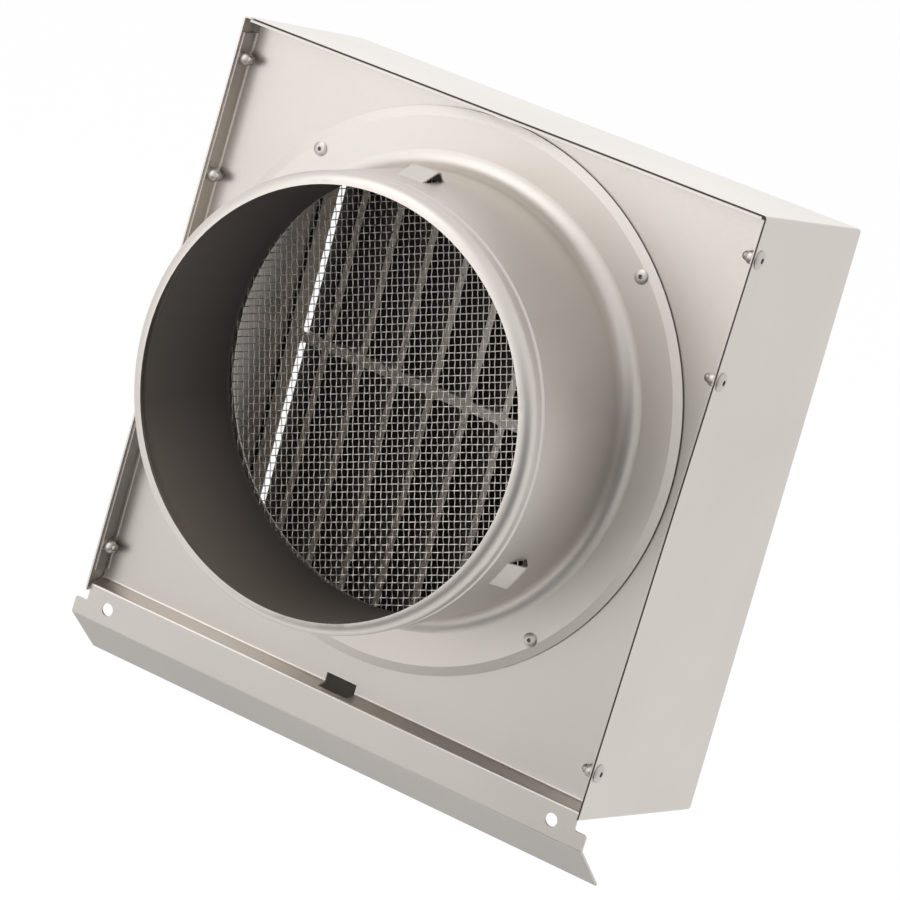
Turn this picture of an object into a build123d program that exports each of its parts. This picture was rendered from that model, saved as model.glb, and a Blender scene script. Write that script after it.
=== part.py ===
from build123d import *
import os
from math import atan2, cos, degrees, hypot, radians, sin, sqrt, tan

# Square deep wall vent cap for a 150 mm duct, in millimetres.
# The origin is on the duct collar's axis in the wall plane, where the hood's rear edges meet the wall.
# +Y runs along the collar into the wall, the louvred front faces -Y, and +Z is up.

# Hood: one folded sheet, open at the rear. Heights are measured from the collar's axis.
hood_sheet = 0.6
hood_width = 202.6
hood_top_rear = 97.0
hood_top_front = 90.3
hood_floor_rear = -110.5
hood_floor_front = -121.4
hood_depth_top = 79.6
hood_depth_floor = 91.2
hood_front_bend = 2.2
hood_corner_bend = 1.2
hood_floor_setback = 5.0

# Louvres in the hood's front: two rows of pressed scoops above and below one cross rib.
rib_height = -19.0
rib_width = 2.6
louvre_count = 11
louvre_pitch = 15.1
louvre_bar = 2.4
louvre_row = 86.0
louvre_corner = 2.0
louvre_end_bend = 1.2
fin_angle = 40.0
fin_gap = 0.4
end_slot = 10.0
end_fin_angle = 18.0
end_fin_gap = 0.9

# Back plate: one folded tray that is riveted between the hood's sides.
plate_sheet = 0.8
plate_recess = 8.2
plate_bend = 0.8
flange_setback = 1.0
top_fit = 0.15
corner_relief = 3.5
airway_radius = 75.5
shelf_height = -106.4
shelf_drop = 1.5
strip_setback = 1.5
strip_width = 200.4
lip_width = 210.0
lip_notch_height = -114.3
lip_bend_height = -120.2
lip_reach = 20.3
lip_fall = 15.6
notch_corner = 1.0
screw_hole_diameter = 4.6
screw_spacing = 182.8
screw_height = -114.3
drain_width = 12.0
drain_rise = 3.3
drain_run = 4.4

# Duct collar: spun from one sheet, with a rolled rim and lanced snap bridges.
collar_sheet = 0.6
collar_radius = 74.0
collar_reach = 57.4
rim_opening_radius = 69.7
bead_setback = 8.0
bead_width = 3.0
bead_depth = 0.5
collar_bend = 6.0
flange_radius = 94.3
flange_band = 3.2
flange_band_drop = 0.6
bridge_angles = (87.0, 207.0)
bridge_width = 9.5
bridge_length = 16.5
bridge_height = 3.9
bridge_setback = 18.6
bridge_crest_share = 0.66
bridge_lead = 1.2
bridge_bend = 3.0

# Insect screen: a woven disc between the collar's flange and the back plate.
screen_thickness = 1.0
screen_radius = 85.0
screen_seam = 1.0
screen_pitch = 14.0
screen_ridge = 2.4
screen_overlap = 0.4
screen_turn = -20.0

# Blind rivets: three in each side wall, four round the collar's flange.
rivet_fit = 0.1
mandrel_fit = 0.05
side_rivet_shank = 3.2
side_rivet_head = 6.4
side_rivet_head_height = 1.1
side_rivet_tail = 4.7
side_rivet_tail_length = 3.0
side_rivet_mandrel = 1.8
side_rivet_setback = 4.2
side_rivet_heights = (82.5, 41.5, -94.0)
collar_rivet_shank = 2.4
collar_rivet_head = 4.9
collar_rivet_head_height = 0.8
collar_rivet_tail = 3.6
collar_rivet_tail_length = 2.6
collar_rivet_mandrel = 1.4
collar_rivet_count = 4
collar_rivet_circle_radius = 89.1
collar_rivet_angle = 45.0
rivet_rim = 0.3
mandrel_recess = 0.4

# Planes and sizes that follow from the values above.
hood_half = hood_width / 2
inside_half = hood_half - hood_sheet
front_lean = degrees(atan2(hood_depth_floor - hood_depth_top, hood_top_front - hood_floor_front))
front_slope = tan(radians(front_lean))
rib_depth = hood_depth_top + (hood_top_front - rib_height) * front_slope
front_normal = (0, -cos(radians(front_lean)), sin(radians(front_lean)))
front_plane = Plane(origin=(0, -rib_depth, rib_height), x_dir=(1, 0, 0), z_dir=front_normal)
slot_width = louvre_pitch - louvre_bar
row_offset = (rib_width + louvre_row) / 2
end_slot_place = louvre_count * louvre_pitch / 2 + louvre_bar / 2 + end_slot / 2
top_slope = (hood_top_rear - hood_top_front) / hood_depth_top
floor_slope = (hood_floor_rear - hood_floor_front) / hood_depth_floor
top_flange_base = hood_top_rear - (hood_sheet + plate_sheet) * hypot(1, top_slope) - top_fit
top_flange_rear = top_flange_base - flange_setback * top_slope
top_flange_front = top_flange_base - plate_recess * top_slope
flange_face = inside_half - plate_sheet
plate_flat = flange_face - plate_bend
flange_top = top_flange_front - corner_relief
flange_foot = shelf_height + corner_relief
lip_edge_height = lip_bend_height - lip_fall
flange_rear = -plate_recess + screen_thickness + collar_sheet
rim_bend = collar_radius - rim_opening_radius
bead_place = collar_reach - bead_setback
bend_middle = collar_bend * (1 - sqrt(0.5))
bridge_arc = degrees(bridge_width / collar_radius)
bridge_rear = collar_reach - bridge_setback
bridge_front = bridge_rear - bridge_length
bridge_crest = bridge_rear - bridge_length * bridge_crest_share
screen_line = (cos(radians(screen_turn)), 0, sin(radians(screen_turn)))
screen_front = Plane(origin=(0, -plate_recess, 0), x_dir=screen_line, z_dir=(0, -1, 0))
screen_layer = (screen_thickness + screen_overlap) / 2
screen_wires = 2 * int(airway_radius / screen_pitch) + 1
side_grip = hood_sheet + plate_sheet
collar_grip = collar_sheet + screen_thickness + plate_sheet


def louvre(slot, gap, angle):
    """One louvre about its slot's middle: a closed-ended scoop, hinged at +X, with its mouth towards -X."""
    lean = radians(angle)
    hinge = slot / 2
    tip = (hinge - (slot - gap) * cos(lean), (slot - gap) * sin(lean))
    root_inside = (hinge - hood_sheet * tan(lean / 2), -hood_sheet)
    past_tip = (root_inside[0] - 2 * slot * cos(lean), root_inside[1] + 2 * slot * sin(lean))
    crest = Axis((0, 0, 0), (sin(lean), 0, cos(lean)))
    with BuildPart() as hollow:
        with BuildSketch(Plane.XZ):
            with BuildLine():
                Polyline(
                    root_inside,
                    past_tip,
                    (past_tip[0], -2 * hood_sheet),
                    (root_inside[0], -2 * hood_sheet),
                    close=True,
                )
            make_face()
        extrude(amount=louvre_row / 2 - hood_sheet, both=True)
        crest_ends = hollow.faces().sort_by(crest)[-1].edges().filter_by(Axis.Y, reverse=True)
        fillet(crest_ends, louvre_end_bend - hood_sheet)
    with BuildPart() as scoop:
        with BuildSketch(Plane.XZ):
            with BuildLine():
                Polyline(
                    (hinge, -hood_sheet),
                    (hinge, 0),
                    tip,
                    (-hinge, 0),
                    (-hinge, -hood_sheet),
                    close=True,
                )
            make_face()
        extrude(amount=louvre_row / 2, both=True)
        crest_ends = scoop.faces().sort_by(crest)[-1].edges().filter_by(Axis.Y, reverse=True)
        fillet(crest_ends, louvre_end_bend)
        add(hollow.part, mode=Mode.SUBTRACT)
    return scoop.part


def folded_box(inset):
    """The hood's bent form, drawn in by the inset on every side, its open end run on past the wall plane."""
    run_on = 2 * hood_front_bend
    with BuildPart() as form:
        with BuildSketch(Plane.YZ):
            with BuildLine():
                Polyline(
                    (run_on, hood_top_rear + run_on * top_slope),
                    (-hood_depth_top, hood_top_front),
                    (-hood_depth_floor, hood_floor_front),
                    (run_on, hood_floor_rear + run_on * floor_slope),
                    close=True,
                )
            make_face()
            offset(amount=-inset, kind=Kind.INTERSECTION)
        extrude(amount=hood_half - inset, both=True)
        fillet(form.faces().sort_by(Axis.Y)[0].edges(), hood_front_bend - inset)
        long_edges = form.edges().filter_by(lambda edge: edge.bounding_box().size.Y > hood_depth_top / 2)
        fillet(long_edges, hood_corner_bend - inset)
    return form.part


def rivet_outline(head, head_height, shank, tail, tail_length, grip, mandrel):
    """Half section of a set rivet: x is the distance out from the outer sheet, y the radius."""
    bore = mandrel / 2 + mandrel_fit
    crown = (head_height, bore + rivet_rim)
    brim = (rivet_rim, head / 2)
    tail_start = (-grip, tail / 2 - rivet_rim)
    tail_middle = (-grip - tail_length / 2, tail / 2)
    tail_end = (-grip - tail_length, shank / 2)
    with BuildLine() as outline:
        Line((head_height, bore), crown)
        TangentArc(crown, brim, tangent=(0, 1))
        Polyline(brim, (0, head / 2), (0, shank / 2), (-grip, shank / 2), tail_start)
        ThreePointArc(tail_start, tail_middle, tail_end)
        Polyline(tail_end, (tail_end[0], bore), (head_height, bore))
    return outline.edges()


def mandrel_outline(shank, tail_length, grip, mandrel):
    """Half section of the mandrel left in a rivet: a stem with a round head against the tail's end."""
    tail_end = -grip - tail_length
    round_radius = shank / 2
    round_middle = (tail_end - round_radius * sqrt(0.5), round_radius * sqrt(0.5))
    stem_end = (-mandrel_recess, mandrel / 2)
    with BuildLine() as outline:
        Polyline((tail_end - round_radius, 0), (-mandrel_recess, 0), stem_end, (tail_end, mandrel / 2))
        Line((tail_end, mandrel / 2), (tail_end, round_radius))
        ThreePointArc((tail_end, round_radius), round_middle, (tail_end - round_radius, 0))
    return outline.edges()


# Hood: the folded box, its floor stopped short of the fixing strip, with slots, louvres and rivet holes.
outer_form = folded_box(0)
inner_form = folded_box(hood_sheet)
wide_louvre = louvre(slot_width, fin_gap, fin_angle)
end_louvre = louvre(end_slot, end_fin_gap, end_fin_angle)
with BuildPart() as hood:
    add(outer_form)
    add(inner_form, mode=Mode.SUBTRACT)
    split(bisect_by=Plane.XZ, keep=Keep.TOP)
    with BuildSketch(Plane.YZ):
        with Locations((0, hood_floor_rear)):
            Rectangle(2 * hood_floor_setback, 2 * hood_floor_setback)
    extrude(amount=inside_half, both=True, mode=Mode.SUBTRACT)
    with BuildSketch(front_plane):
        with GridLocations(louvre_pitch, 2 * row_offset, louvre_count, 2):
            RectangleRounded(slot_width, louvre_row, louvre_corner)
        with GridLocations(2 * end_slot_place, 2 * row_offset, 2, 2):
            RectangleRounded(end_slot, louvre_row, louvre_corner)
    extrude(amount=-2 * hood_sheet, mode=Mode.SUBTRACT)
    with Locations(front_plane.location):
        with GridLocations(louvre_pitch, 2 * row_offset, louvre_count, 2):
            add(wide_louvre)
        with Locations((-end_slot_place, row_offset, 0), (-end_slot_place, -row_offset, 0)):
            add(end_louvre)
        with Locations(
            Location((end_slot_place, row_offset, 0), (0, 0, 180)),
            Location((end_slot_place, -row_offset, 0), (0, 0, 180)),
        ):
            add(end_louvre)
    with BuildSketch(Plane.YZ):
        with Locations(*[(-side_rivet_setback, height) for height in side_rivet_heights]):
            Circle(side_rivet_shank / 2 + rivet_fit)
    extrude(amount=hood_width, both=True, mode=Mode.SUBTRACT)

# Back plate: top flange, plate, shelf, strip and lip are one bent sheet, cut to its outline from behind.
# The side flanges are bent up from the same sheet and stop short of its corners.
with BuildPart() as back_plate:
    with BuildSketch(Plane.YZ):
        with BuildLine():
            FilletPolyline(
                (-flange_setback, top_flange_rear),
                (-plate_recess, top_flange_front),
                (-plate_recess, shelf_height),
                (-strip_setback, shelf_height - shelf_drop),
                (-strip_setback, lip_bend_height),
                (-strip_setback - lip_reach, lip_edge_height),
                radius=plate_bend,
            )
            offset(amount=plate_sheet, side=Side.RIGHT)
        make_face()
    extrude(amount=lip_width / 2, both=True)
    with BuildSketch(Plane.XZ) as cut_outline:
        with BuildLine():
            right_edge = Polyline(
                (0, hood_top_rear),
                (plate_flat, hood_top_rear),
                (plate_flat, flange_foot),
                (strip_width / 2, flange_foot),
                (strip_width / 2, lip_notch_height),
                (lip_width / 2, lip_notch_height),
                (lip_width / 2, lip_edge_height - plate_sheet),
                (0, lip_edge_height - plate_sheet),
            )
            mirror(right_edge, about=Plane.YZ)
        make_face()
        notch_vertices = cut_outline.vertices().group_by(Axis.Y)[1]
        fillet(notch_vertices, notch_corner)
    extrude(amount=hood_depth_top, both=True, mode=Mode.INTERSECT)
    with BuildSketch(Plane.XY.offset(flange_foot)):
        with BuildLine():
            FilletPolyline(
                (-flange_face, -flange_setback),
                (-flange_face, -plate_recess),
                (flange_face, -plate_recess),
                (flange_face, -flange_setback),
                radius=plate_bend,
            )
            offset(amount=plate_sheet, side=Side.RIGHT)
        make_face()
    extrude(amount=flange_top - flange_foot)
    with BuildSketch(Plane.XZ.offset(plate_recess)):
        Circle(airway_radius)
        with PolarLocations(collar_rivet_circle_radius, collar_rivet_count, collar_rivet_angle):
            Circle(collar_rivet_shank / 2 + rivet_fit)
    extrude(amount=2 * plate_sheet, both=True, mode=Mode.SUBTRACT)
    with BuildSketch(Plane.XZ.offset(strip_setback)):
        with Locations((-screw_spacing / 2, screw_height), (screw_spacing / 2, screw_height)):
            Circle(screw_hole_diameter / 2)
    extrude(amount=2 * plate_sheet, both=True, mode=Mode.SUBTRACT)
    with BuildSketch(Plane.YZ):
        with Locations(*[(-side_rivet_setback, height) for height in side_rivet_heights]):
            Circle(side_rivet_shank / 2 + rivet_fit)
    extrude(amount=hood_width, both=True, mode=Mode.SUBTRACT)
    with BuildSketch(Plane.YZ):
        with Locations((-plate_recess, shelf_height)):
            Rectangle(2 * drain_run, 2 * drain_rise)
    extrude(amount=drain_width / 2, both=True, mode=Mode.SUBTRACT)

# Duct collar: one spun sheet, from the flange over the cylinder to the bead and the rolled rim.
# Rivet holes and snap bridges are pressed afterwards.
with BuildPart() as duct_collar:
    with BuildSketch(Plane.XY):
        with BuildLine():
            Polyline(
                (flange_radius, flange_rear - flange_band_drop),
                (flange_radius - flange_band, flange_rear),
                (collar_radius + collar_bend, flange_rear),
            )
            ThreePointArc(
                (collar_radius + collar_bend, flange_rear),
                (collar_radius + bend_middle, flange_rear + bend_middle),
                (collar_radius, flange_rear + collar_bend),
            )
            Line((collar_radius, flange_rear + collar_bend), (collar_radius, bead_place - bead_width / 2))
            ThreePointArc(
                (collar_radius, bead_place - bead_width / 2),
                (collar_radius - bead_depth, bead_place),
                (collar_radius, bead_place + bead_width / 2),
            )
            Line((collar_radius, bead_place + bead_width / 2), (collar_radius, collar_reach - rim_bend))
            ThreePointArc(
                (collar_radius, collar_reach - rim_bend),
                (rim_opening_radius + rim_bend * sqrt(0.5), collar_reach - rim_bend * (1 - sqrt(0.5))),
                (rim_opening_radius, collar_reach),
            )
            offset(amount=collar_sheet, side=Side.LEFT)
        make_face()
    revolve(axis=Axis.Y)
    with BuildSketch(Plane.XZ.offset(-flange_rear)):
        with PolarLocations(collar_rivet_circle_radius, collar_rivet_count, collar_rivet_angle):
            Circle(collar_rivet_shank / 2 + rivet_fit)
    extrude(amount=2 * collar_sheet, both=True, mode=Mode.SUBTRACT)
    for bridge_angle in bridge_angles:
        bridge_plane = Plane.XY.rotated((0, -bridge_angle - bridge_arc / 2, 0))
        with BuildSketch(bridge_plane):
            with Locations((collar_radius, bridge_front)):
                Rectangle(4 * collar_sheet, bridge_length, align=(Align.CENTER, Align.MIN))
        revolve(axis=Axis.Y, revolution_arc=bridge_arc, mode=Mode.SUBTRACT)
        with BuildSketch(bridge_plane):
            with BuildLine():
                FilletPolyline(
                    (collar_radius, bridge_rear),
                    (collar_radius, bridge_rear - bridge_lead),
                    (collar_radius + bridge_height, bridge_crest),
                    (collar_radius, bridge_front + bridge_lead),
                    (collar_radius, bridge_front),
                    radius=bridge_bend,
                )
                offset(amount=collar_sheet, side=Side.RIGHT)
            make_face()
        revolve(axis=Axis.Y, revolution_arc=bridge_arc)

# Insect screen: crossing ridges stand for the wires inside a flat border ring.
with BuildPart() as insect_screen:
    with BuildSketch(screen_front):
        Circle(screen_radius)
        Circle(airway_radius, mode=Mode.SUBTRACT)
    extrude(amount=-screen_thickness)
    with BuildSketch(screen_front):
        with GridLocations(screen_pitch, screen_pitch, screen_wires, 1):
            Rectangle(screen_ridge, 2 * screen_radius)
        Circle(airway_radius + screen_seam, mode=Mode.INTERSECT)
    extrude(amount=-screen_layer)
    with BuildSketch(screen_front.offset(-screen_thickness)):
        with GridLocations(screen_pitch, screen_pitch, 1, screen_wires):
            Rectangle(2 * screen_radius, screen_ridge)
        Circle(airway_radius + screen_seam, mode=Mode.INTERSECT)
    extrude(amount=screen_layer)

# Blind rivets and the mandrels left in them.
side_rivet_places = []
for height in side_rivet_heights:
    side_rivet_places.append(Location((hood_half, -side_rivet_setback, height)))
    side_rivet_places.append(Location((-hood_half, -side_rivet_setback, height), (0, 0, 180)))

collar_rivet_places = []
for step in range(collar_rivet_count):
    turn = radians(collar_rivet_angle + step * 360 / collar_rivet_count)
    centre = (collar_rivet_circle_radius * cos(turn), flange_rear, collar_rivet_circle_radius * sin(turn))
    collar_rivet_places.append(Location(centre, (0, 0, 90)))

with BuildPart() as side_rivet:
    with BuildSketch(Plane.XY):
        make_face(
            rivet_outline(
                side_rivet_head,
                side_rivet_head_height,
                side_rivet_shank,
                side_rivet_tail,
                side_rivet_tail_length,
                side_grip,
                side_rivet_mandrel,
            )
        )
    revolve(axis=Axis.X)

with BuildPart() as side_mandrel:
    with BuildSketch(Plane.XY):
        make_face(mandrel_outline(side_rivet_shank, side_rivet_tail_length, side_grip, side_rivet_mandrel))
    revolve(axis=Axis.X)

with BuildPart() as collar_rivet:
    with BuildSketch(Plane.XY):
        make_face(
            rivet_outline(
                collar_rivet_head,
                collar_rivet_head_height,
                collar_rivet_shank,
                collar_rivet_tail,
                collar_rivet_tail_length,
                collar_grip,
                collar_rivet_mandrel,
            )
        )
    revolve(axis=Axis.X)

with BuildPart() as collar_mandrel:
    with BuildSketch(Plane.XY):
        make_face(
            mandrel_outline(collar_rivet_shank, collar_rivet_tail_length, collar_grip, collar_rivet_mandrel)
        )
    revolve(axis=Axis.X)

with BuildPart() as side_rivets:
    with Locations(*side_rivet_places):
        add(side_rivet.part)

with BuildPart() as side_rivet_mandrels:
    with Locations(*side_rivet_places):
        add(side_mandrel.part)

with BuildPart() as collar_rivets:
    with Locations(*collar_rivet_places):
        add(collar_rivet.part)

with BuildPart() as collar_rivet_mandrels:
    with Locations(*collar_rivet_places):
        add(collar_mandrel.part)

os.makedirs("parts", exist_ok=True)
hood.part.label = "hood"
export_step(hood.part, "parts/hood.step")
back_plate.part.label = "back_plate"
export_step(back_plate.part, "parts/back_plate.step")
duct_collar.part.label = "duct_collar"
export_step(duct_collar.part, "parts/duct_collar.step")
insect_screen.part.label = "insect_screen"
export_step(insect_screen.part, "parts/insect_screen.step")
side_rivets.part.label = "side_rivets"
export_step(side_rivets.part, "parts/side_rivets.step")
side_rivet_mandrels.part.label = "side_rivet_mandrels"
export_step(side_rivet_mandrels.part, "parts/side_rivet_mandrels.step")
collar_rivets.part.label = "collar_rivets"
export_step(collar_rivets.part, "parts/collar_rivets.step")
collar_rivet_mandrels.part.label = "collar_rivet_mandrels"
export_step(collar_rivet_mandrels.part, "parts/collar_rivet_mandrels.step")
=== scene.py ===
import math

import bpy
import numpy as np
from mathutils import Matrix, Vector


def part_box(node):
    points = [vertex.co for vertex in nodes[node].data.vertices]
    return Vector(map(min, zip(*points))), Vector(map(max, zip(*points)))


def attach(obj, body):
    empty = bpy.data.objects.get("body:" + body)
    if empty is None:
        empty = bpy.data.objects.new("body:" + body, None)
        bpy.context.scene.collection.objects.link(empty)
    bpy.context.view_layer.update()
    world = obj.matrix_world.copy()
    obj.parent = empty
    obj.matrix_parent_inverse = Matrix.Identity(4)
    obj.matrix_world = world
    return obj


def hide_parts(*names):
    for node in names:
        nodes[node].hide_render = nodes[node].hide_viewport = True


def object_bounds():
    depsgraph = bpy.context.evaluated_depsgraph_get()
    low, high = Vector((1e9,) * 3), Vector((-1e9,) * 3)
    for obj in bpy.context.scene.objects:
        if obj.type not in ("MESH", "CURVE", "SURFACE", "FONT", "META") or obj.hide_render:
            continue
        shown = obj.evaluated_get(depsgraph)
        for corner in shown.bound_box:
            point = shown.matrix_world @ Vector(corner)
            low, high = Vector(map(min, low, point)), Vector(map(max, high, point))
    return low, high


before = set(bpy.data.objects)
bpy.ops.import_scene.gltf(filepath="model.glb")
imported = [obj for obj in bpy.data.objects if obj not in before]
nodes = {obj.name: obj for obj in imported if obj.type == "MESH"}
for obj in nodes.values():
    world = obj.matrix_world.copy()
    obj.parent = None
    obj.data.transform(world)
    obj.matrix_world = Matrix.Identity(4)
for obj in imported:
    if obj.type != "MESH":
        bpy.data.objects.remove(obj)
solid_low, solid_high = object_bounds()

# Sizes in metres, in the part's own frame
MM = 0.001
collar_low, collar_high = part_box("duct_collar")
screen_low, screen_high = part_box("insect_screen")
SCREEN_RADIUS = (screen_high.x - screen_low.x) / 2
SCREEN_MIDDLE = (screen_low.y + screen_high.y) / 2

# Woven insect screen
WIRE_DIAMETER = 0.36 * MM
WIRE_SWING = 0.22 * MM
WIRE_SIDES = 6
WARP_PITCH = 2.16 * MM
WARP_HEADING = math.radians(71.5)
WARP_SEED = 4
WEFT_PITCH = 2.53 * MM
WEFT_HEADING = math.radians(-21.8)
WEFT_SEED = 5
STEPS_PER_CROSSING = 4
FEWEST_RINGS = 4
WANDER = 0.06 * MM
WANDER_LENGTH = 45 * MM
RIPPLE_SHARE = 0.5
RIPPLES_PER_WANDER = 2.35
EDGE_ROOM = 3 * WANDER

# Clouds and grain of satin steel
CLOUD_SCALE = 14.0
CLOUD_DETAIL = 3.0
CLOUD_START = 0.3
CLOUD_END = 0.7
CLOUD_DARK_SHARE = 0.97
CLOUD_PALE_SHARE = 1.03
SHEET_GRAIN = 900.0
SMALL_GRAIN = 1500.0
GRAIN_DETAIL = 2.0
GLOSS_SWING = 0.04
RELIEF_STRENGTH = 0.5
RELIEF_DEPTH = 0.012 * MM

# Places of the painted light and shade: a facing is a share of the normal along an axis
INNER_WALL_FACING = -0.8
OUTER_WALL_FACING = -0.1
LOW_LIGHT_START = -25 * MM
FLAT_LEAN = 0.1
FULL_LEAN = 0.25
REARWARD_START = 0.3
REARWARD_FULL = 0.6
INNER_FRONT_START = -30 * MM
INNER_FRONT_FULL = -40 * MM
SEAM_DEPTH_START = -2 * MM
SEAM_DEPTH_FULL = -1 * MM
SEAM_FACING_START = 0.8
SEAM_FACING_FULL = 0.95
SEAM_END = solid_high.x - 6 * MM
SEAM_FULL = solid_high.x - 8 * MM

# Sockets of a Mix node that blends colours
MIX_FIRST_COLOUR = 6
MIX_SECOND_COLOUR = 7
MIX_COLOUR_RESULT = 2


def mesh_object(name, points, quads, material):
    """An object at the origin, made of points and four-cornered faces."""
    mesh = bpy.data.meshes.new(name)
    mesh.from_pydata(points, [], quads)
    mesh.materials.append(material)
    made = bpy.data.objects.new(name, mesh)
    bpy.context.scene.collection.objects.link(made)
    return made


def screen_piece(name, points, quads, material):
    """A smooth-shaded piece of the screen, which rides on the part's body."""
    piece = mesh_object(name, points.tolist(), quads.tolist(), material)
    mesh = piece.data
    mesh.polygons.foreach_set("use_smooth", np.ones(len(mesh.polygons), bool))
    mesh.update()
    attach(piece, "root")
    return piece


def tube_quads(rings):
    """Faces between neighbouring rings of a six-sided tube, and two more across each of its end rings."""
    ring = np.arange(rings - 1)[:, None] * WIRE_SIDES
    side = np.arange(WIRE_SIDES)[None, :]
    following = (side + 1) % WIRE_SIDES
    corners = [ring + side, ring + WIRE_SIDES + side, ring + WIRE_SIDES + following, ring + following]
    wall = np.stack(corners, axis=-1).reshape(-1, 4)
    near_end = np.array([[0, 1, 2, 3], [0, 3, 4, 5]])
    far_end = near_end[:, ::-1] + (rings - 1) * WIRE_SIDES
    return np.concatenate([near_end, wall, far_end])


def wire_family(pitch, heading, crossing_pitch, phase, seed):
    """Points and faces of parallel wires across the screen's disc.

    A wire's middle line runs along the heading at a whole number of pitches from the disc's middle. It
    swings front to back as a cosine with a period of two crossing pitches, the other way on every second
    wire, and it wanders sideways as two slow sines. A ring of points is set about every point of that line.
    """
    random = np.random.default_rng(seed)
    along = np.array([math.cos(heading), math.sin(heading)])
    across = np.array([-along[1], along[0]])
    turn = np.arange(WIRE_SIDES) * 2 * math.pi / WIRE_SIDES
    count = int(SCREEN_RADIUS / pitch)
    points, quads, start = [], [], 0
    for index in range(-count, count + 1):
        offset = index * pitch
        reach = math.sqrt(max(SCREEN_RADIUS ** 2 - offset ** 2, 0)) - EDGE_ROOM
        rings = int(2 * reach / crossing_pitch * STEPS_PER_CROSSING) + 1
        if rings < FEWEST_RINGS:
            continue
        run = np.linspace(-reach, reach, rings)
        wave = WIRE_SWING * phase * (-1) ** index * np.cos(math.pi * run / crossing_pitch)
        shifts = random.uniform(0, 2 * math.pi, 2)
        wander_turn = 2 * math.pi * run / WANDER_LENGTH
        ripple = RIPPLE_SHARE * np.sin(RIPPLES_PER_WANDER * wander_turn + shifts[1])
        drift = WANDER * (np.sin(wander_turn + shifts[0]) + ripple)
        sideways = offset + drift[:, None] + WIRE_DIAMETER / 2 * np.cos(turn)[None, :]
        depth = SCREEN_MIDDLE + wave[:, None] + WIRE_DIAMETER / 2 * np.sin(turn)[None, :]
        run_grid = np.broadcast_to(run[:, None], sideways.shape)
        x = run_grid * along[0] + sideways * across[0]
        z = run_grid * along[1] + sideways * across[1]
        points.append(np.stack([x, depth, z], axis=-1).reshape(-1, 3))
        quads.append(tube_quads(rings) + start)
        start += rings * WIRE_SIDES
    return np.concatenate(points), np.concatenate(quads)


# Small helpers for the finishes' nodes
def shader_of(material):
    """The material's own shader."""
    return material.node_tree.nodes["Principled BSDF"]


def source_of(material, socket):
    """The output that already leads to one of the shader's inputs."""
    return shader_of(material).inputs[socket].links[0].from_socket


def feed(material, target, source):
    """Gives a node's input a plain value, or leads another node's output to it."""
    if isinstance(source, bpy.types.NodeSocket):
        material.node_tree.links.new(source, target)
    else:
        target.default_value = source


def add_node(material, kind, inputs, operation=None):
    """A new node of a material, with each of the given inputs fed."""
    node = material.node_tree.nodes.new(kind)
    if operation:
        node.operation = operation
    for key, source in inputs.items():
        feed(material, node.inputs[key], source)
    return node


def place_and_normal(material):
    """Object coordinates of a point on the surface, and its normal."""
    coordinates = add_node(material, "ShaderNodeTexCoord", {})
    return coordinates.outputs["Object"], coordinates.outputs["Normal"]


def along_axes(material, vector):
    """A vector's shares along X, Y and Z."""
    return add_node(material, "ShaderNodeSeparateXYZ", {"Vector": vector}).outputs


def noise(material, place, scale, detail):
    """Soft noise from 0 to 1."""
    inputs = {"Vector": place, "Scale": scale, "Detail": detail}
    return add_node(material, "ShaderNodeTexNoise", inputs).outputs["Fac"]


def graded(material, value, start, end, first=0.0, last=1.0, easing="LINEAR"):
    """A value that runs from first to last while another runs from start to end, and is level beyond."""
    inputs = {"Value": value, "From Min": start, "From Max": end, "To Min": first, "To Max": last}
    grade = add_node(material, "ShaderNodeMapRange", inputs)
    grade.interpolation_type = easing
    return grade.outputs["Result"]


def graded_colour(material, value, first, last, start=0.0, end=1.0):
    """A colour that runs from the first to the last while a value runs from start to end."""
    ramp = add_node(material, "ShaderNodeValToRGB", {"Fac": value})
    low, high = ramp.color_ramp.elements
    low.position = start
    high.position = end
    low.color = (*first, 1)
    high.color = (*last, 1)
    return ramp.outputs["Color"]


def product(material, first, second):
    """Two values multiplied."""
    return add_node(material, "ShaderNodeMath", {0: first, 1: second}, "MULTIPLY").outputs["Value"]


def scaled(material, colour, share):
    """A colour multiplied by a share."""
    inputs = {0: colour, "Scale": share}
    return add_node(material, "ShaderNodeVectorMath", inputs, "SCALE").outputs["Vector"]


def blended(material, share, first, second):
    """A colour between two others: the first at a share of 0, the second at a share of 1."""
    mix = add_node(material, "ShaderNodeMix", {"Factor": share})
    mix.data_type = "RGBA"
    feed(material, mix.inputs[MIX_FIRST_COLOUR], first)
    feed(material, mix.inputs[MIX_SECOND_COLOUR], second)
    return mix.outputs[MIX_COLOUR_RESULT]


def satin_steel(name, colour, roughness, grain, metal=1.0):
    """Satin stainless steel: its colour drifts in large faint clouds, and fine grain swings its gloss.

    The same grain gives it a very shallow relief.
    """
    material = bpy.data.materials.new(name)
    material.use_nodes = True
    shader = shader_of(material)
    shader.inputs["Metallic"].default_value = metal
    shader.inputs["Specular IOR Level"].default_value = 0.0
    place, _ = place_and_normal(material)

    dark = [CLOUD_DARK_SHARE * part for part in colour]
    pale = [CLOUD_PALE_SHARE * part for part in colour]
    clouds = noise(material, place, CLOUD_SCALE, CLOUD_DETAIL)
    tint = graded_colour(material, clouds, dark, pale, CLOUD_START, CLOUD_END)
    feed(material, shader.inputs["Base Color"], tint)

    fine = noise(material, place, grain, GRAIN_DETAIL)
    gloss = graded(material, fine, 0.0, 1.0, roughness - GLOSS_SWING, roughness + GLOSS_SWING)
    feed(material, shader.inputs["Roughness"], gloss)
    inputs = {"Strength": RELIEF_STRENGTH, "Distance": RELIEF_DEPTH, "Height": fine}
    relief = add_node(material, "ShaderNodeBump", inputs)
    feed(material, shader.inputs["Normal"], relief.outputs["Normal"])
    return material


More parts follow.
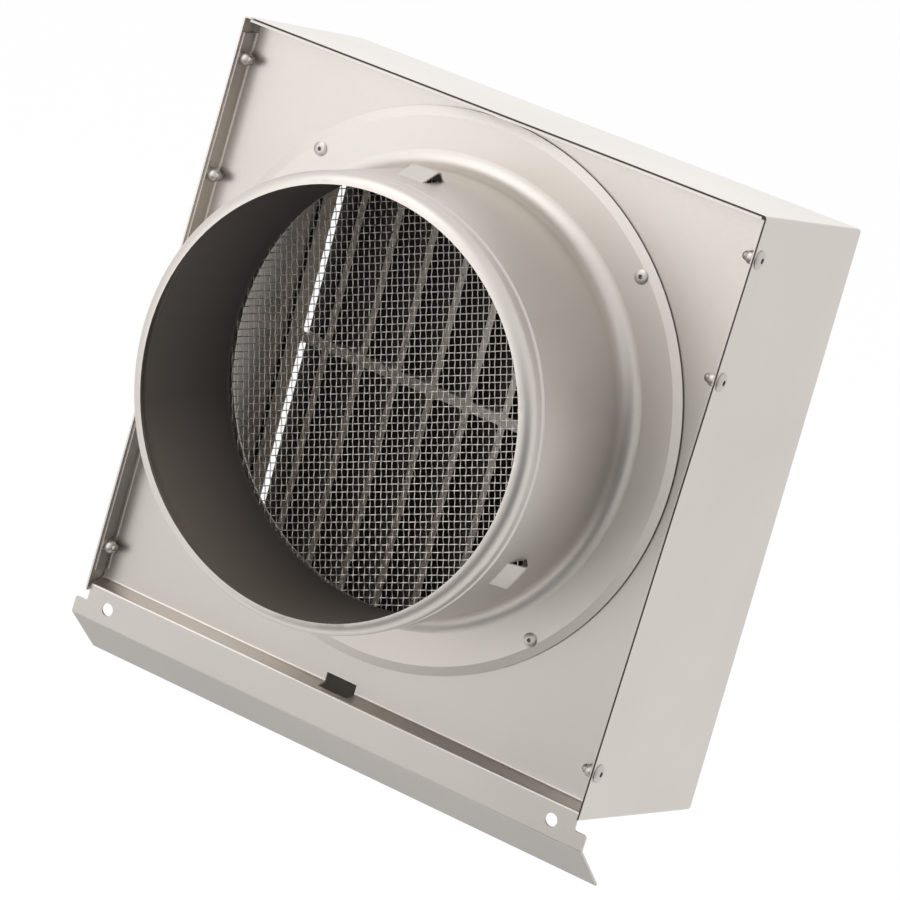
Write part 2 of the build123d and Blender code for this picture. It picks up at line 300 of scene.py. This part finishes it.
def paint_bore_light_and_shade(material, deep_shade, rim_shade, low_light_share):
    """Paints shade on a tube's inner wall, which faces the Y axis: a dark tone from its deep end to its
    rim.

    Towards the wall's lowest line the tone is multiplied by the low share, which paints light there.
    """
    outside = source_of(material, "Base Color")
    place, normal = place_and_normal(material)
    flat = add_node(material, "ShaderNodeVectorMath", {0: place, 1: (1, 0, 1)}, "MULTIPLY")
    radial = add_node(material, "ShaderNodeVectorMath", {0: flat.outputs["Vector"]}, "NORMALIZE")
    inputs = {0: normal, 1: radial.outputs["Vector"]}
    outward = add_node(material, "ShaderNodeVectorMath", inputs, "DOT_PRODUCT").outputs["Value"]
    outer_share = graded(material, outward, INNER_WALL_FACING, OUTER_WALL_FACING, easing="SMOOTHSTEP")
    spot = along_axes(material, place)
    depth = graded(material, spot["Y"], collar_low.y, collar_high.y)
    tone = graded_colour(material, depth, deep_shade, rim_shade)
    low = graded(material, spot["Z"], LOW_LIGHT_START, collar_low.z, 1.0, low_light_share)
    inside = scaled(material, tone, low)
    colour = blended(material, outer_share, inside, outside)
    feed(material, shader_of(material).inputs["Base Color"], colour)


def paint_louvre_light_and_shade(material, flat_light_share, lean_shade_share, roughness):
    """Paints light and shade on the front's inner faces: they get a share of the sheet's colour, and
    another share where they lean.
    """
    shader = shader_of(material)
    sheet = source_of(material, "Base Color")
    grain = source_of(material, "Roughness")
    place, normal = place_and_normal(material)
    facing = along_axes(material, normal)
    spot = along_axes(material, place)
    lean = add_node(material, "ShaderNodeMath", {0: facing["X"]}, "ABSOLUTE").outputs["Value"]
    leaning = graded(material, lean, FLAT_LEAN, FULL_LEAN)
    rearward = graded(material, facing["Y"], REARWARD_START, REARWARD_FULL)
    deep = graded(material, spot["Y"], INNER_FRONT_START, INNER_FRONT_FULL)
    inside = product(material, rearward, deep)
    inner = graded(material, leaning, 0.0, 1.0, flat_light_share, lean_shade_share)
    level = graded(material, inside, 0.0, 1.0, 1.0, inner)
    feed(material, shader.inputs["Base Color"], scaled(material, sheet, level))
    gloss = add_node(material, "ShaderNodeMix", {"Factor": inside, "A": grain, "B": roughness})
    feed(material, shader.inputs["Roughness"], gloss.outputs["Result"])


def shade_seam(material, tone):
    """Paints shade onto the sheet's rear cut edge, but for its +X side: the dark of the shaded narrow seam
    beside it.
    """
    sheet = source_of(material, "Base Color")
    place, normal = place_and_normal(material)
    spot = along_axes(material, place)
    facing = along_axes(material, normal)
    rear = graded(material, spot["Y"], SEAM_DEPTH_START, SEAM_DEPTH_FULL)
    beside = graded(material, spot["X"], SEAM_END, SEAM_FULL)
    rearward = graded(material, facing["Y"], SEAM_FACING_START, SEAM_FACING_FULL)
    share = product(material, product(material, rear, beside), rearward)
    colour = blended(material, share, sheet, (*tone, 1))
    feed(material, shader_of(material).inputs["Base Color"], colour)


# Finishes, with painted shade and light on the collar's bore, the front's inner faces and the hood's rear
# edge
hood_steel = satin_steel("satin hood steel", (0.62, 0.582, 0.545), roughness=0.38, grain=SHEET_GRAIN)
# Painted light on the flat inner faces between the louvres, and painted shade, nearly black, on the
# louvres' leaning inner faces
paint_louvre_light_and_shade(hood_steel, flat_light_share=1.5, lean_shade_share=0.06, roughness=0.46)
# Painted shade on the hood's rear cut edge, standing for the shaded narrow seam beside it
shade_seam(hood_steel, tone=(0.06, 0.05, 0.045))
sheet_steel = satin_steel("satin sheet steel", (0.54, 0.506, 0.472), roughness=0.38, grain=SHEET_GRAIN)
collar_steel = satin_steel(
    "spun collar steel",
    (0.63, 0.591, 0.551),
    roughness=0.45,
    grain=SHEET_GRAIN,
    metal=0.88,
)
# Painted shade in the collar's bore, darker towards its deep end, and painted light along its lowest line
paint_bore_light_and_shade(collar_steel, deep_shade=(0.03, 0.026, 0.023), rim_shade=(0.17, 0.148, 0.13), low_light_share=3.0)
wire_steel = satin_steel("screen wire", (0.85, 0.8, 0.755), roughness=0.38, grain=SMALL_GRAIN)
rivet_steel = satin_steel("rivet steel", (0.54, 0.51, 0.48), roughness=0.42, grain=SMALL_GRAIN)
mandrel_steel = satin_steel("mandrel steel", (0.36, 0.34, 0.32), roughness=0.35, grain=SMALL_GRAIN)

for node, material in (
    ("hood", hood_steel),
    ("back_plate", sheet_steel),
    ("duct_collar", collar_steel),
    ("insect_screen", wire_steel),
    ("side_rivets", rivet_steel),
    ("side_rivet_mandrels", mandrel_steel),
    ("collar_rivets", rivet_steel),
    ("collar_rivet_mandrels", mandrel_steel),
):
    nodes[node].data.materials.clear()
    nodes[node].data.materials.append(material)

# Screen wires: the two families swing opposite ways, so that they weave
warp_points, warp_quads = wire_family(WARP_PITCH, WARP_HEADING, WEFT_PITCH, 1, WARP_SEED)
weft_points, weft_quads = wire_family(WEFT_PITCH, WEFT_HEADING, WARP_PITCH, -1, WEFT_SEED)
warp = screen_piece("screen_warp", warp_points, warp_quads, wire_steel)
screen_piece("screen_weft", weft_points, weft_quads, wire_steel)
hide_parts("insect_screen")

# Camera at the photograph's place
CAMERA_AZIMUTH = math.radians(206.614)
CAMERA_ELEVATION = math.radians(13.699)
CAMERA_ROLL = math.radians(16.601)
CAMERA_DISTANCE = 1343.073 * MM
CAMERA_TARGET = Vector((-18.435 * MM, 0, -12.891 * MM))
FOCAL_PIXELS = 4106.972
PHOTO_PIXELS = 900
SENSOR_WIDTH = 36.0
VIEW_DEPTH = 50.0

backward = Vector((
    math.sin(CAMERA_AZIMUTH) * math.cos(CAMERA_ELEVATION),
    -math.cos(CAMERA_AZIMUTH) * math.cos(CAMERA_ELEVATION),
    math.sin(CAMERA_ELEVATION),
))
level = backward.cross(Vector((0, 0, -1))).normalized()
upright = backward.cross(level).normalized()
rolled_right = math.cos(CAMERA_ROLL) * level + math.sin(CAMERA_ROLL) * upright
rolled_up = math.cos(CAMERA_ROLL) * upright - math.sin(CAMERA_ROLL) * level
camera_turn = Matrix((rolled_right, rolled_up, backward)).transposed()
camera_place = CAMERA_TARGET + backward * CAMERA_DISTANCE
camera_data = bpy.data.cameras.new("camera")
camera_data.sensor_width = SENSOR_WIDTH
camera_data.lens = SENSOR_WIDTH * FOCAL_PIXELS / PHOTO_PIXELS
camera_data.clip_end = VIEW_DEPTH
camera = bpy.data.objects.new("camera", camera_data)
bpy.context.scene.collection.objects.link(camera)
camera.matrix_world = Matrix.Translation(camera_place) @ camera_turn.to_4x4()
bpy.context.scene.camera = camera

# Studio: a floor far below the held part, and cards that only its metal shows, as painted dark reflections
FLOOR_DROP = 0.6
FLOOR_HALF = 12.0
FLOOR_WHITE = 0.99
CARD_BLACK = 0.02
CARD_GREY = 0.57


def flat_sheet(name, middle, across, up, shade):
    """A flat matt sheet of the studio about its middle, given by its two half-widths."""
    middle, across, up = Vector(middle), Vector(across), Vector(up)
    corners = [middle - across - up, middle + across - up, middle + across + up, middle - across + up]
    paint = bpy.data.materials.new(name)
    paint.use_nodes = True
    shader = shader_of(paint)
    shader.inputs["Base Color"].default_value = (shade, shade, shade, 1)
    shader.inputs["Roughness"].default_value = 1.0
    shader.inputs["Specular IOR Level"].default_value = 0.0
    sheet = mesh_object(name, corners, [(0, 1, 2, 3)], paint)
    return sheet


def shade_reflection_card(name, middle, across, up, shade):
    """A flat sheet that shows in reflections alone, as a painted dark reflection of shade."""
    card = flat_sheet(name, middle, across, up, shade)
    card.visible_camera = False
    card.visible_diffuse = False
    card.visible_shadow = False


floor_middle = (0, 0, solid_low.z - FLOOR_DROP)
flat_sheet("floor", floor_middle, (FLOOR_HALF, 0, 0), (0, FLOOR_HALF, 0), FLOOR_WHITE)
# Painted dark reflections: dark and grey sheets that stand for shade, seen only in the steel's reflections
shade_reflection_card("right card", (-0.8, 0.58, -0.15), (0.3, 0.4, 0), (0, 0, 0.45), CARD_BLACK)
shade_reflection_card("low card", (-0.25, 0.75, -0.62), (0.6, 0, 0), (0, 0.45, 0), CARD_BLACK)
shade_reflection_card("under card", (0.2, -0.42, -0.62), (0.45, 0, 0), (0, 0.28, 0), CARD_GREY)

# Light: an even white surround and soft boxes
WORLD_STRENGTH = 1.0

world = bpy.data.worlds.new("studio")
bpy.context.scene.world = world
world.use_nodes = True
surround = world.node_tree.nodes["Background"]
surround.inputs["Color"].default_value = (1, 1, 1, 1)
surround.inputs["Strength"].default_value = WORLD_STRENGTH


def soft_box(name, place, size, watts):
    """A square area lamp that faces the part's middle."""
    lamp = bpy.data.lights.new(name, "AREA")
    lamp.size = size
    lamp.energy = watts
    box = bpy.data.objects.new(name, lamp)
    box.location = place
    box.rotation_euler = (-Vector(place)).to_track_quat("-Z", "Y").to_euler()
    bpy.context.scene.collection.objects.link(box)


soft_box("rear", (0.55, 1.15, 0.1), size=0.8, watts=2.0)
soft_box("key", (0.5, 0.8, 0.9), size=0.9, watts=4.0)
soft_box("top", (0.5, -1.0, 0.5), size=0.9, watts=0.9)

bpy.context.scene.view_settings.view_transform = "Standard"
